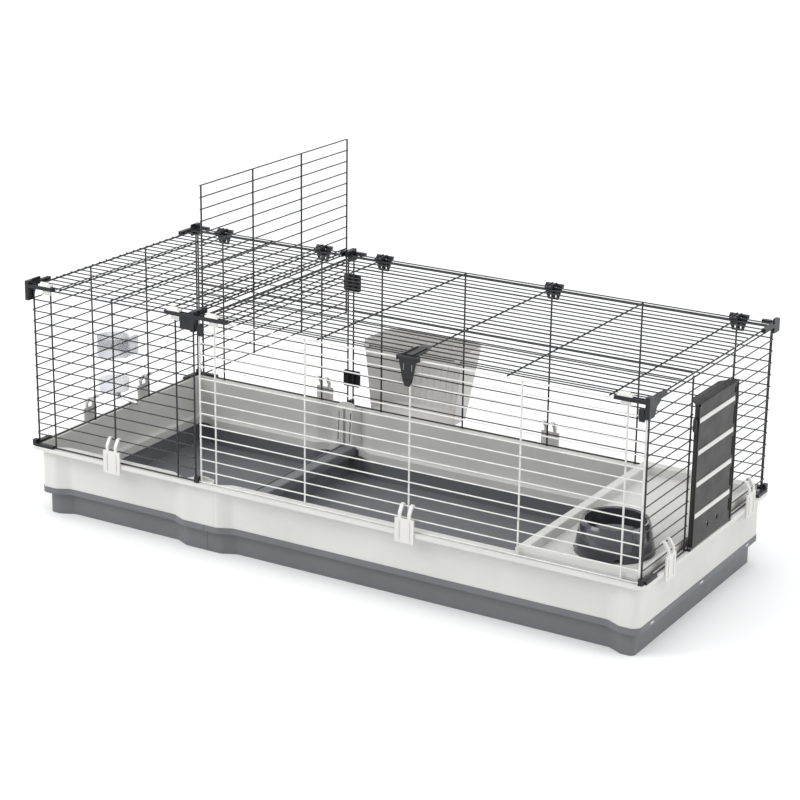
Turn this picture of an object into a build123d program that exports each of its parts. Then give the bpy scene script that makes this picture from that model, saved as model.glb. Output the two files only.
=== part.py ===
from build123d import *
import os

# Small animal cage with two modules side by side. Millimetres.
# X runs along the length to the right, Y runs to the rear, Z up.
# The origin is on the floor under the middle of the footprint.

# Overall size
LENGTH = 1420
DEPTH = 600
RIM_TOP = 152
LONG_MODULE = 993
GAP = 0.4

# Trays and collars
TRAY_SEAM_STEP = 10
COLLAR_SEAM_STEP = 34
COLLAR_BOTTOM = 60
TRAY_WALL = 3
COLLAR_WALL = 2.6
COLLAR_INSET = 14
TRAY_INSET = 26
LIP_INSET = 13
LIP_DROP = 13
LIP_WALL = 2.4
RIM_THICKNESS = 4
RIM_LIP_DROP = 8
RIM_LIP_WALL = 2.6
RIM_CORNER = 18
WALL_CORNER = 24
WALL_RECESS = 15
RAMP_RADIUS = 22
RAMP_RUN = 30
END_SWELL = 52
SEAM_SWELL_LEFT = 78
SEAM_SWELL_RIGHT = 8
SKIRT_DEPTH = 14
SKIRT_WALL = 2.4
SKIRT_GAP = 0.6
SNAP_SPACING = 225
SNAP_WIDTH = 14
SNAP_HEIGHT = 4
SNAP_DEPTH = 3

# Joint between the modules
BAR_WIDTH = 36
BAR_RISE = 8
BAR_LEG = 12
BAR_WALL = 2.6
BAR_SEAT = 2.5
BAR_CHAMFER = 2
GUIDE_SLOT = 7
GUIDE_CATCH = 4
SLEEVE_WIDTH = 62
SLEEVE_FLANGE = 3
SLEEVE_STEP = 10
ARC_WIDTH = 3

# Wire panels
PANEL_INSET = 10
WIRE = 2.4
UPRIGHT = 3.4
EDGE_WIRE = 3.0
WIRE_SIDES = 8
ROWS = 15
ROW_PITCH = 24.4
POST_INSET = 16
POST_PAIR = 14
UPRIGHT_TRIM = 0.2
AXLE_REACH = 6
FRONT_SHORT_STEP = 158
FRONT_LONG_STEP_INNER = 236
FRONT_LONG_STEP_OUTER = 448
REAR_SHORT_STEP = 133
REAR_LONG_STEP = 206
DOORWAY_HALF = 96
DOORWAY_ROWS = 11

# Roofs
ROOF_WIRES = 25
ROOF_EDGE = 4.4
ROOF_WIRE = 2.4
ROOF_CROSS = 3.0
ROOF_REST_GAP = 0.4
ROOF_DOUBLE = 12
ROOF_DIVIDER_GAP = 14

# Divider
DIVIDER_ROWS = 17
DIVIDER_PITCH = 24
DIVIDER_INSET = 34
DIVIDER_LIFT = 306.5

# Rear hinges
HINGE_OUT = 9
HINGE_RISE = 6.4
HINGE_PIN = 3
HINGE_KNUCKLE = 8
HINGE_WIDTH = 40
HINGE_FOOT = 24
HINGE_PLATE = 3
HINGE_LENGTH = 22.6
HINGE_SLOT = 4
HINGE_ARM = 34
HINGE_CENTRE = 15
HINGE_NOSE = 2.8
HINGE_RIB_PLACE = 4.5
RIB = 2

# Top connectors and bottom clamps
CONNECTOR_OUT = 12
CONNECTOR_DROP = 26.6
CONNECTOR_RISE = 14.4
REAR_DROP = 12
REAR_REACH = 12
COLUMN_GAP = 2.4
COLUMN_SIDE_GAP = 0.7
SHIELD_OUT = 5
SHIELD_WALL = 2.8
SHIELD_REACH = 32
SHIELD_STEP = 20
SHIELD_ROUND = 3
SIDE_ARM = 58
ARM_HEIGHT = 8
REAR_ARM = 26
LOOP_LENGTH = 62
LOOP_LONG = 76
LOOP_BAR = 2.2
LOOP_BACK = 0.6
LOOP_END = 4
LOOP_HEIGHT = 7.5
FACE_PLATE = 30
FACE_PLATE_OUT = 5
FORK_WALL = 2.6
FORK_REACH = 12
FORK_HEIGHT = 11
CLAMP_OUT = 7
CLAMP_HEIGHT = 13
CLAMP_ARM = 46
CLAMP_ARM_HEIGHT = 6
CLAMP_EDGE = 1
JOIN_PLATE_WIDTH = 42
JOIN_PLATE_HEIGHT = 37
JOIN_PLATE_DEPTH = 4
JOIN_PLATE_CORNER = 4
JOIN_DIMPLE = 4
JOIN_ROW_LOW = 2
JOIN_ROW_HIGH = 11

# Front latch
TONGUE_OUT = 7.8
TONGUE_RISE = 3.4
TONGUE_KNUCKLE = 7
TONGUE_PIN = 3
TONGUE_PLATE = 3
TONGUE_LENGTH = 56
TONGUE_TOP_HALF = 20
TONGUE_FOOT_HALF = 10
CARRIER_EAR = 3
LATCH_HALF = 17
LATCH_ARM = 72
LATCH_PLATE = 3
LATCH_RIB_PLACE = 10
TONGUE_SLOT = 3
TONGUE_SLOT_PLACE = 9
TONGUE_SLOT_DROP = 12
TONGUE_SLOT_LENGTH = 14
TONGUE_GRIP = 1.6

# Roof locks and the clips at the top of the door
TOP_CLIP_WIDTH = 11
TOP_CLIP_DEPTH = 5
TOP_CLIP_DROP = 34
LOCK_FROM_CORNER = 45
LOCK_FROM_MIDDLE = 46
LOCK_LENGTH = 30
LOCK_TRAVEL = 4
LOCK_STEM = 2
LOCK_PAD = 4
LOCK_FIN = 5
LOCK_EDGE = 1
LOCK_FIN_FOOT = 2
LOCK_FIN_HALF = 10
LOCK_STEM_HALF = 9
CATCH_HALF = 10
CATCH_DEPTH = 2.6
CATCH_DROP = 9
CATCH_LIP = 2

# Tray clips
CLIP_ROW = 2
CLIP_WIDTH = 42
CLIP_HEIGHT = 71
CLIP_FORK = 22
CLIP_PRONG = 7
CLIP_WALL = 3
CLIP_STAND = 13.4
CLIP_TOOTH = 3.4
CLIP_TOOTH_HEIGHT = 5
CLIP_TOOTH_HALF = 14.7
CLIP_RIB_PLACE = 11.5
CLIP_RIB_DEPTH = 1.4
CLIP_RIB_INSET = 6

# Ladder
LADDER_AXIS_IN = 3
LADDER_AXIS_UP = 7
LADDER_WIDTH = 184
LADDER_LENGTH = 282
LADDER_DEPTH = 8
LADDER_WALL = 2.6
LADDER_TOP_SHELF = 20
LADDER_OUTER = 3
LADDER_FOOT = 4
LADDER_BARREL = 6
LADDER_PIN = 3
LADDER_TAB = 9
LADDER_TAB_UP = 231
LADDER_TAB_HEIGHT = 24
LADDER_BARREL_PLACE = 75
LADDER_BARREL_WIDTH = 30
LADDER_TOP_HALF = 62
LADDER_SLOT = 8
LADDER_SLOT_IN = 12
LADDER_HOLE = 11
LADDER_HOLE_UP = 20
LADDER_HOLE_SPACING = 22
LADDER_EAR = 4
STRIP_HEIGHT = 9
STRIP_PROUD = 1.6
STRIPS = 4
STRIP_PITCH = 63
STRIP_FIRST = 56

# Shelf and bowl
SHELF_WIDTH = 251
SHELF_END_GAP = 12
SHELF_SIDE_GAP = 9
SHELF_FLANGE = 17
SHELF_RISE = 14
SHELF_DEPTH = 21
SHELF_WALL = 2.6
SHELF_BORDER = 20
BOWL_FROM_END = 111
BOWL_FROM_FRONT = 136
BOWL_BASE_RADIUS = 78
BOWL_RIM_RADIUS = 62
BOWL_HEIGHT = 62
BOWL_WALL = 3.5
BOWL_ARCH = 0.15
BOWL_TURN = 30

# Hay rack
RACK_FROM_DIVIDER = 33
RACK_WIDTH = 246
RACK_DEPTH = 116
RACK_HEIGHT = 160
RACK_TAPER = 18
RACK_FOOT = 0.72
RACK_WALL = 2.4
RACK_CORNER = 40
RACK_HOOK_ROW = 6
RACK_HOOK_WIDTH = 12

# Water bottle
BOTTLE_STAND = 8
BOTTLE_Y = 28
BOTTLE_RADIUS = 33
BOTTLE_RISE = 21
BOTTLE_CAP_HEIGHT = 31
BOTTLE_HEIGHT = 108
BOTTLE_WALL = 1.8
BOTTLE_NECK_STEP = 4
BOTTLE_SHOULDER = 15
BOTTLE_CAP_PROUD = 1
BOTTLE_CAP_TAPER = 8
SPOUT_RADIUS = 4.4
SPOUT_REACH = 22
SPOUT_RISE = 7
HOLDER_WALL = 2.4
HOLDER_DOWN = 50
HOLDER_HEIGHT = 42
HOLDER_PLATE = 40
HOLDER_HOLE = 4
HOLDER_EDGE = 8

# Places worked out from the sizes above
HALF_LENGTH = LENGTH / 2
HALF_DEPTH = DEPTH / 2
MODULE_SEAM_X = HALF_LENGTH - LONG_MODULE
TRAY_SEAM_X = MODULE_SEAM_X + TRAY_SEAM_STEP
COLLAR_SEAM_X = MODULE_SEAM_X + COLLAR_SEAM_STEP
DIVIDER_X = MODULE_SEAM_X
PANEL_X = HALF_LENGTH - PANEL_INSET
PANEL_Y = HALF_DEPTH - PANEL_INSET
END_POST_Y = HALF_DEPTH - POST_INSET
FIRST_ROW = RIM_TOP + EDGE_WIRE / 2
TOP_ROW = FIRST_ROW + (ROWS - 1) * ROW_PITCH
PANEL_TOP = TOP_ROW + EDGE_WIRE / 2
SHORT_LEFT = -HALF_LENGTH + POST_INSET
SHORT_RIGHT = MODULE_SEAM_X - POST_PAIR / 2
LONG_LEFT = MODULE_SEAM_X + POST_PAIR / 2
LONG_RIGHT = HALF_LENGTH - POST_INSET
SHORT_CENTRE = (SHORT_LEFT + SHORT_RIGHT) / 2
LONG_CENTRE = (LONG_LEFT + LONG_RIGHT) / 2
UPRIGHT_OFFSET = WIRE / 2 + UPRIGHT / 2
EDGE_FACE = EDGE_WIRE - WIRE / 2
DOOR_AXLE_Z = FIRST_ROW + GAP
DOOR_AXLE_LEFT = LONG_LEFT - AXLE_REACH
DOOR_AXLE_RIGHT = LONG_RIGHT + AXLE_REACH
CLIP_WIRE_Z = FIRST_ROW + CLIP_ROW * ROW_PITCH
CLIP_CATCH_TOP = RIM_TOP - RIM_LIP_DROP - 2.5 * GAP - CLIP_WIRE_Z
ROOF_CROSS_Z = PANEL_TOP + ROOF_REST_GAP + ROOF_CROSS / 2
ROOF_LONG_Z = ROOF_CROSS_Z + ROOF_CROSS / 2 + ROOF_WIRE / 2
ROOF_PITCH = 2 * (PANEL_Y - ROOF_EDGE) / (ROOF_WIRES - 1)
ROOF_SPLIT_LEFT = DIVIDER_X - ROOF_DIVIDER_GAP
ROOF_SPLIT_RIGHT = DIVIDER_X + ROOF_DIVIDER_GAP
HINGE_AXIS_Y = PANEL_Y + HINGE_OUT
HINGE_AXIS_Z = PANEL_TOP + HINGE_RISE
HINGE_FOOT_Z = PANEL_TOP - HINGE_LENGTH
CONNECTOR_BOTTOM = PANEL_TOP - CONNECTOR_DROP
CONNECTOR_TOP = PANEL_TOP + CONNECTOR_RISE
CONNECTOR_SEAT = PANEL_TOP + 1.5 * GAP
LOOP_TOP = CONNECTOR_SEAT + LOOP_HEIGHT
REAR_ARM_TOP = CONNECTOR_SEAT + ARM_HEIGHT - 1
FORK_BOTTOM = CONNECTOR_TOP - FORK_HEIGHT
TONGUE_AXIS_Y = -PANEL_Y - TONGUE_OUT
TONGUE_AXIS_Z = PANEL_TOP + TONGUE_RISE
DIVIDER_HALF = HALF_DEPTH - DIVIDER_INSET
DIVIDER_STEP = 2 * DIVIDER_HALF / 3
DIVIDER_BOTTOM = COLLAR_BOTTOM + BAR_RISE - BAR_SEAT + DIVIDER_LIFT
LADDER_AXIS_X = HALF_LENGTH - LADDER_AXIS_IN
LADDER_AXIS_Z = RIM_TOP + LADDER_AXIS_UP
SHELF_RIGHT = PANEL_X - SHELF_END_GAP
SHELF_LEFT = SHELF_RIGHT - SHELF_WIDTH
SHELF_HALF = PANEL_Y - SHELF_SIDE_GAP
SHELF_WELL_HALF = SHELF_HALF - SHELF_FLANGE
SHELF_TOP = RIM_TOP + SHELF_RISE
SHELF_FLOOR = SHELF_TOP - SHELF_DEPTH
BOWL_X = SHELF_RIGHT - BOWL_FROM_END
BOWL_Y = -SHELF_HALF + BOWL_FROM_FRONT
RACK_LEFT = DIVIDER_X + RACK_FROM_DIVIDER
RACK_RIGHT = RACK_LEFT + RACK_WIDTH
RACK_BOTTOM = RIM_TOP
RACK_TOP = RIM_TOP + RACK_HEIGHT
BOTTLE_X = -PANEL_X - BOTTLE_STAND - BOTTLE_RADIUS
BOTTLE_CAP_BOTTOM = RIM_TOP + BOTTLE_RISE
BOTTLE_CAP_TOP = BOTTLE_CAP_BOTTOM + BOTTLE_CAP_HEIGHT
BOTTLE_TOP = BOTTLE_CAP_TOP + BOTTLE_HEIGHT
HOLDER_BOTTOM = BOTTLE_TOP - HOLDER_DOWN
SPOUT_END_Z = RIM_TOP + SPOUT_RISE


def block(x0, x1, y0, y1, z0, z1):
    """Box between two corners."""
    return Pos(x0, y0, z0) * Box(x1 - x0, y1 - y0, z1 - z0, align=(Align.MIN, Align.MIN, Align.MIN))


def slab(face, bottom, top):
    """Upright body over a face drawn on the floor plane."""
    return Pos(0, 0, bottom) * extrude(face, amount=top - bottom)


def side_profile(points, x0, x1):
    """Body with an outline in Y and Z, between two X positions."""
    plane = Plane(origin=(x0, 0, 0), x_dir=(0, 1, 0), z_dir=(1, 0, 0))
    return extrude(plane * make_face(Polyline(*points, close=True)), amount=x1 - x0)


def front_profile(points, y0, y1):
    """Body with an outline in X and Z, between two Y positions."""
    plane = Plane(origin=(0, y1, 0), x_dir=(1, 0, 0), z_dir=(0, -1, 0))
    return extrude(plane * make_face(Polyline(*points, close=True)), amount=y1 - y0)


def wire(origin, direction, x_dir, length, diameter):
    """Straight wire with a faceted section."""
    plane = Plane(origin=origin, x_dir=x_dir, z_dir=direction)
    turn = 180 / WIRE_SIDES
    section = RegularPolygon(diameter / 2, WIRE_SIDES, major_radius=False, rotation=turn)
    return extrude(plane * section, amount=length)


def wire_x(x0, x1, y, z, diameter):
    return wire((x0, y, z), (1, 0, 0), (0, 1, 0), x1 - x0, diameter)


def wire_y(y0, y1, x, z, diameter):
    return wire((x, y0, z), (0, 1, 0), (1, 0, 0), y1 - y0, diameter)


def wire_z(z0, z1, x, y, diameter):
    return wire((x, y, z0), (0, 0, 1), (1, 0, 0), z1 - z0, diameter)


def rod(origin, direction, length, diameter):
    """Truly round bar, used where something turns on it."""
    return extrude(Plane(origin=origin, z_dir=direction) * Circle(diameter / 2), amount=length)


def rod_x(x0, x1, y, z, diameter):
    return rod((x0, y, z), (1, 0, 0), x1 - x0, diameter)


def rod_y(y0, y1, x, z, diameter):
    return rod((x, y0, z), (0, 1, 0), y1 - y0, diameter)


def row_size(row, rows):
    """The first and last wires of a grid are its thicker edges."""
    return EDGE_WIRE if row in (0, rows - 1) else WIRE


def row_shift(row, rows):
    """Thicker edge wires stand proud on the outside, flush on the inside."""
    return (row_size(row, rows) - WIRE) / 2


def save(name, pieces):
    if not isinstance(pieces, list):
        pieces = [pieces]
    solids = [solid for piece in pieces for solid in piece.solids()]
    shape = solids[0] if len(solids) == 1 else Compound(solids)
    export_step(shape, f"parts/{name}.step")


# Trays

def bay_outline(x_left, x_right, inset, x1, x4, corner):
    """Plan of a tray wall: full depth at its ends, recessed between x1 and x4."""
    y_out = HALF_DEPTH - inset
    y_in = y_out - WALL_RECESS
    x2 = x1 + RAMP_RUN
    x3 = x4 - RAMP_RUN
    front = [(x_left, -y_out), (x1, -y_out), (x2, -y_in), (x3, -y_in), (x4, -y_out), (x_right, -y_out)]
    rear = [(x, -y) for x, y in reversed(front)]
    face = make_face(Polyline(*front, *rear, close=True))
    ramps = [v for v in face.vertices() if x1 - GAP < v.X < x4 + GAP]
    face = fillet(ramps, RAMP_RADIUS)
    outer = [v for v in face.vertices() if abs(v.X - corner) < GAP and abs(v.Y) > y_out - GAP]
    return fillet(outer, WALL_CORNER - inset / 2)


def left_plan(inset, seam):
    outer_end = -HALF_LENGTH + inset
    x1 = -HALF_LENGTH + END_SWELL
    x4 = COLLAR_SEAM_X - SEAM_SWELL_LEFT
    return bay_outline(outer_end, seam, inset, x1, x4, outer_end)


def right_plan(inset, seam):
    outer_end = HALF_LENGTH - inset
    x1 = COLLAR_SEAM_X + SEAM_SWELL_RIGHT
    x4 = HALF_LENGTH - END_SWELL
    return bay_outline(seam, outer_end, inset, x1, x4, outer_end)


def tray(plan, seam, side):
    """Dark base tray: floor, walls and a lip that the collar sits on."""
    wall_seam = seam - side * GAP
    inner_seam = wall_seam - side * TRAY_WALL
    lip_bottom = COLLAR_BOTTOM - LIP_DROP
    body = slab(plan(TRAY_INSET, wall_seam), 0, COLLAR_BOTTOM)
    lip = slab(plan(LIP_INSET, wall_seam), lip_bottom, COLLAR_BOTTOM)
    lip_inner = slab(plan(LIP_INSET + LIP_WALL, wall_seam), lip_bottom, COLLAR_BOTTOM - TRAY_WALL)
    body = body + (lip - lip_inner)
    well = slab(plan(TRAY_INSET + TRAY_WALL, inner_seam), TRAY_WALL, COLLAR_BOTTOM + 1)
    end_x = -side * (HALF_LENGTH - LIP_INSET)
    windows = [
        Pos(end_x, y, COLLAR_BOTTOM - LIP_DROP / 2)
        * Box(2 * LIP_WALL + SNAP_DEPTH, SNAP_WIDTH + 2 * GAP, SNAP_HEIGHT + 2 * GAP)
        for y in (-SNAP_SPACING, 0, SNAP_SPACING)
    ]
    return body - well - windows


def collar(plan, rim_end, seam, skirt_seam, side):
    """Light collar: wall ring open at the seam, rim with a lip, ledge and skirt."""
    wall_top = RIM_TOP - RIM_THICKNESS
    inner_inset = COLLAR_INSET + COLLAR_WALL
    skirt_inset = TRAY_INSET + TRAY_WALL + SKIRT_GAP
    wall = slab(plan(COLLAR_INSET, seam), COLLAR_BOTTOM, wall_top)
    rim_x0 = min(rim_end, seam)
    rim_x1 = max(rim_end, seam)
    rim_face = Pos((rim_x0 + rim_x1) / 2, 0) * Rectangle(rim_x1 - rim_x0, DEPTH)
    corners = [v for v in rim_face.vertices() if abs(v.X - rim_end) < GAP]
    rim_face = fillet(corners, RIM_CORNER)
    rim = slab(rim_face, RIM_TOP - RIM_LIP_DROP, RIM_TOP)
    under_face = offset(rim_face, -RIM_LIP_WALL, kind=Kind.INTERSECTION)
    seam_strip = block(seam - RIM_LIP_WALL, seam + RIM_LIP_WALL, -HALF_DEPTH + RIM_LIP_WALL,
                       HALF_DEPTH - RIM_LIP_WALL, RIM_TOP - RIM_LIP_DROP, wall_top)
    under = slab(under_face, RIM_TOP - RIM_LIP_DROP, wall_top) + seam_strip
    rim = rim - under
    reach = seam + side * 2 * WALL_CORNER
    bore = slab(plan(inner_inset, reach), COLLAR_BOTTOM + TRAY_WALL, RIM_TOP + 1)
    ledge_bore = slab(plan(skirt_inset + SKIRT_WALL, reach), COLLAR_BOTTOM - SKIRT_DEPTH - 1, RIM_TOP)
    skirt = slab(plan(skirt_inset, skirt_seam), COLLAR_BOTTOM - SKIRT_DEPTH, COLLAR_BOTTOM)
    body = (wall + rim - bore + skirt) - ledge_bore
    end_x = -side * (HALF_LENGTH - LIP_INSET)
    tabs = [
        Pos(end_x + side * (LIP_WALL + SNAP_DEPTH) / 2, y, COLLAR_BOTTOM - LIP_DROP / 2)
        * Box(LIP_WALL + SNAP_DEPTH, SNAP_WIDTH, SNAP_HEIGHT)
        for y in (-SNAP_SPACING, 0, SNAP_SPACING)
    ]
    return [body, *tabs]


def build_trays():
    save("base_tray_left", tray(left_plan, TRAY_SEAM_X, 1))
    save("base_tray_right", tray(right_plan, TRAY_SEAM_X, -1))
    left_skirt = TRAY_SEAM_X - TRAY_WALL - 2 * SKIRT_WALL
    left = collar(left_plan, -HALF_LENGTH, COLLAR_SEAM_X - GAP / 2, left_skirt, 1)
    right = collar(right_plan, HALF_LENGTH, COLLAR_SEAM_X + GAP / 2, COLLAR_SEAM_X + GAP / 2, -1)
    save("collar_left", left[0])
    save("collar_right", right[0])
    save("collar_snap_tabs", left[1:] + right[1:])


def build_joint():
    """Bar over the two tray ends, and guide sleeves for the divider edges."""
    x0 = TRAY_SEAM_X - BAR_WIDTH / 2
    x1 = TRAY_SEAM_X + BAR_WIDTH / 2
    reach = HALF_DEPTH - TRAY_INSET - TRAY_WALL - SKIRT_GAP - SKIRT_WALL - GAP
    top = COLLAR_BOTTOM + BAR_RISE
    bar = block(x0, x1, -reach, reach, COLLAR_BOTTOM - BAR_LEG, top)
    hollow = block(x0 + BAR_WALL, x1 - BAR_WALL, -reach, reach, 0, COLLAR_BOTTOM)
    seat = block(DIVIDER_X - GUIDE_SLOT / 2, DIVIDER_X + GUIDE_SLOT / 2, -reach, reach, top - BAR_SEAT, top)
    bar = bar - hollow - seat
    bar = chamfer(bar.edges().filter_by(Axis.Y).group_by(Axis.Z)[-1].sort_by(Axis.X)[0:4:3], BAR_CHAMFER)
    save("tray_joint_bar", bar)
    for name, side in (("guide_sleeve_front", -1), ("guide_sleeve_rear", 1)):
        y_wall = HALF_DEPTH - COLLAR_INSET - COLLAR_WALL
        y_face = DIVIDER_HALF - GUIDE_CATCH
        x_left = DIVIDER_X - SLEEVE_WIDTH / 2
        x_right = DIVIDER_X + SLEEVE_WIDTH / 2
        z0 = COLLAR_BOTTOM + TRAY_WALL
        z1 = RIM_TOP
        points = [
            (x_left, y_wall), (x_left, y_wall - SLEEVE_FLANGE), (x_left + SLEEVE_STEP, y_face),
            (x_right - SLEEVE_STEP, y_face), (x_right, y_wall - SLEEVE_FLANGE), (x_right, y_wall),
        ]
        sleeve = slab(make_face(Polyline(*points, close=True)), z0, z1)
        slot = block(DIVIDER_X - GUIDE_SLOT / 2, DIVIDER_X + GUIDE_SLOT / 2, 0,
                     DIVIDER_HALF + UPRIGHT, z0, z1)
        under = block(x_left, x_right, 0, reach + GAP, z0, COLLAR_BOTTOM + BAR_RISE + GAP)
        sleeve = sleeve - slot - under
        arcs = [
            front_profile(arc_slot(x), 0, y_face + SLEEVE_STEP / 2)
            for x in (x_left + SLEEVE_STEP + ARC_WIDTH, x_right - SLEEVE_STEP - 3 * ARC_WIDTH)
        ]
        sleeve = sleeve - arcs
        if side < 0:
            sleeve = sleeve.mirror(Plane.XZ)
        save(name, sleeve)


def arc_slot(x):
    """Outline of a leaning slot in the guide sleeve, in X and Z."""
    z0 = COLLAR_BOTTOM + 2 * BAR_RISE
    z1 = RIM_TOP - BAR_RISE
    return [(x, z0), (x + ARC_WIDTH, z0), (x + 2 * ARC_WIDTH, z1), (x + ARC_WIDTH, z1)]


# Wire panels

def x_panel(y, inside, x_left, x_right, uprights):
    """Grid in the XZ plane. Uprights stand on the inner side of the rows."""
    pieces = []
    for row in range(ROWS):
        z = FIRST_ROW + row * ROW_PITCH
        row_y = y - inside * row_shift(row, ROWS)
        shape = rod_x if row == CLIP_ROW else wire_x
        pieces.append(shape(x_left, x_right, row_y, z, row_size(row, ROWS)))
    upright_y = y + inside * UPRIGHT_OFFSET
    for x in uprights:
        pieces.extend(upright(x, upright_y))
    return pieces


def upright(x, y):
    """Vertical wire between the two edge wires, which are thicker than the rows."""
    bottom = FIRST_ROW - EDGE_WIRE / 2 + UPRIGHT_TRIM
    return [wire_z(bottom, PANEL_TOP - UPRIGHT_TRIM, x, y, UPRIGHT)]


def y_panel(x, inside, gap_rows):
    """Grid in the YZ plane, with rows left open between the inner uprights."""
    pieces = []
    for row in range(ROWS):
        z = FIRST_ROW + row * ROW_PITCH
        size = row_size(row, ROWS)
        row_x = x - inside * row_shift(row, ROWS)
        shape = rod_y if row == CLIP_ROW else wire_y
        if 0 < row <= gap_rows:
            pieces.append(shape(-END_POST_Y, -DOORWAY_HALF, row_x, z, size))
            pieces.append(shape(DOORWAY_HALF, END_POST_Y, row_x, z, size))
        else:
            pieces.append(shape(-END_POST_Y, END_POST_Y, row_x, z, size))
    upright_x = x + inside * UPRIGHT_OFFSET
    for y in (-END_POST_Y, -DOORWAY_HALF, DOORWAY_HALF, END_POST_Y):
        pieces.extend(upright(upright_x, y))
    return pieces


def build_panels():
    short_front = [SHORT_CENTRE + k * FRONT_SHORT_STEP for k in (-1, 0, 1)]
    short_rear = [SHORT_CENTRE + k * REAR_SHORT_STEP for k in (-1, 1)]
    long_rear = [LONG_CENTRE + k * REAR_LONG_STEP for k in (-2, -1, 0, 1, 2)]
    short_posts = [SHORT_LEFT, SHORT_RIGHT]
    long_posts = [LONG_LEFT, LONG_RIGHT]
    save("front_left_panel", x_panel(-PANEL_Y, 1, SHORT_LEFT, SHORT_RIGHT, short_posts + short_front))
    save("rear_panel_left", x_panel(PANEL_Y, -1, SHORT_LEFT, SHORT_RIGHT, short_posts + short_rear))
    save("rear_panel_right", x_panel(PANEL_Y, -1, LONG_LEFT, LONG_RIGHT, long_posts + long_rear))
    save("left_end_panel", y_panel(-PANEL_X, 1, 0))
    save("right_end_panel", y_panel(PANEL_X, -1, DOORWAY_ROWS))


def build_front_door():
    """White grid over the whole front of the long module. Its lowest wire is the axle."""
    steps = (-FRONT_LONG_STEP_OUTER, -FRONT_LONG_STEP_INNER, 0, FRONT_LONG_STEP_INNER, FRONT_LONG_STEP_OUTER)
    uprights = [LONG_LEFT] + [LONG_CENTRE + step for step in steps] + [LONG_RIGHT]
    axle_y = -PANEL_Y - row_shift(0, ROWS)
    pieces = [rod_x(DOOR_AXLE_LEFT, DOOR_AXLE_RIGHT, axle_y, DOOR_AXLE_Z, EDGE_WIRE)]
    for row in range(1, ROWS):
        z = FIRST_ROW + row * ROW_PITCH
        row_y = -PANEL_Y - row_shift(row, ROWS)
        shape = rod_x if row == CLIP_ROW else wire_x
        pieces.append(shape(LONG_LEFT, LONG_RIGHT, row_y, z, row_size(row, ROWS)))
    upright_y = -PANEL_Y + UPRIGHT_OFFSET
    for x in uprights:
        pieces.append(wire_z(DOOR_AXLE_Z - EDGE_WIRE / 2, PANEL_TOP - UPRIGHT_TRIM, x, upright_y, UPRIGHT))
    save("front_door", pieces)


# Roofs

def roof(x_left, x_right, crosses):
    """Long wires over cross wires, resting just above the panel tops."""
    pieces = []
    for x in crosses:
        pieces.append(wire_y(-PANEL_Y, PANEL_Y, x, ROOF_CROSS_Z, ROOF_CROSS))
    first = -(ROOF_WIRES - 1) / 2 * ROOF_PITCH
    for k in range(ROOF_WIRES):
        pieces.append(wire_x(x_left, x_right, first + k * ROOF_PITCH, ROOF_LONG_Z, ROOF_WIRE))
    return pieces


def short_crosses():
    inner = [SHORT_CENTRE + k * REAR_SHORT_STEP for k in (-1, 0, 1)]
    return [SHORT_LEFT, *inner, ROOF_SPLIT_LEFT - ROOF_DOUBLE, ROOF_SPLIT_LEFT]


def long_crosses():
    inner = [LONG_CENTRE + k * REAR_LONG_STEP for k in (-2, -1, 0, 1, 2)]
    return [ROOF_SPLIT_RIGHT, ROOF_SPLIT_RIGHT + ROOF_DOUBLE, *inner, LONG_RIGHT]


def build_roofs():
    save("roof_left", roof(SHORT_LEFT, ROOF_SPLIT_LEFT, short_crosses()))
    save("roof_right", roof(ROOF_SPLIT_RIGHT, LONG_RIGHT, long_crosses()))


def hinge_places():
    left = [SHORT_CENTRE - REAR_SHORT_STEP, SHORT_CENTRE + REAR_SHORT_STEP]
    right = [LONG_CENTRE + k * REAR_LONG_STEP for k in (-2, 0, 2)]
    return left, right


def hinge_panel_leaf(x):
    """Tapered plate outside the rear panel, with two outer knuckles."""
    y0 = PANEL_Y + EDGE_FACE
    y1 = y0 + HINGE_PLATE
    top = HINGE_AXIS_Z - HINGE_KNUCKLE / 2 - GAP
    half = HINGE_WIDTH / 2
    foot = HINGE_FOOT / 2
    outline = [(x - half, top), (x - foot, HINGE_FOOT_Z), (x + foot, HINGE_FOOT_Z), (x + half, top)]
    plate = front_profile(outline, y0, y1)
    for side in (-1, 1):
        slot_x = x + side * foot / 2
        plate -= block(slot_x - HINGE_SLOT / 2, slot_x + HINGE_SLOT / 2, y0, y1, HINGE_FOOT_Z + HINGE_SLOT,
                       HINGE_FOOT_Z + 3 * HINGE_SLOT)
    knuckle_in = HINGE_CENTRE / 2 + GAP
    for side in (-1, 1):
        x0 = min(x + side * knuckle_in, x + side * half)
        x1 = max(x + side * knuckle_in, x + side * half)
        web = block(x0, x1, y0, y1, top, HINGE_AXIS_Z)
        bore = rod_x(x0, x1, HINGE_AXIS_Y, HINGE_AXIS_Z, HINGE_PIN + GAP)
        arm = block(x0, x1, y0, HINGE_AXIS_Y, HINGE_AXIS_Z - HINGE_KNUCKLE / 2, HINGE_AXIS_Z)
        knuckle = rod_x(x0, x1, HINGE_AXIS_Y, HINGE_AXIS_Z, HINGE_KNUCKLE)
        plate = plate + (web + arm + knuckle - bore)
    return plate


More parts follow.
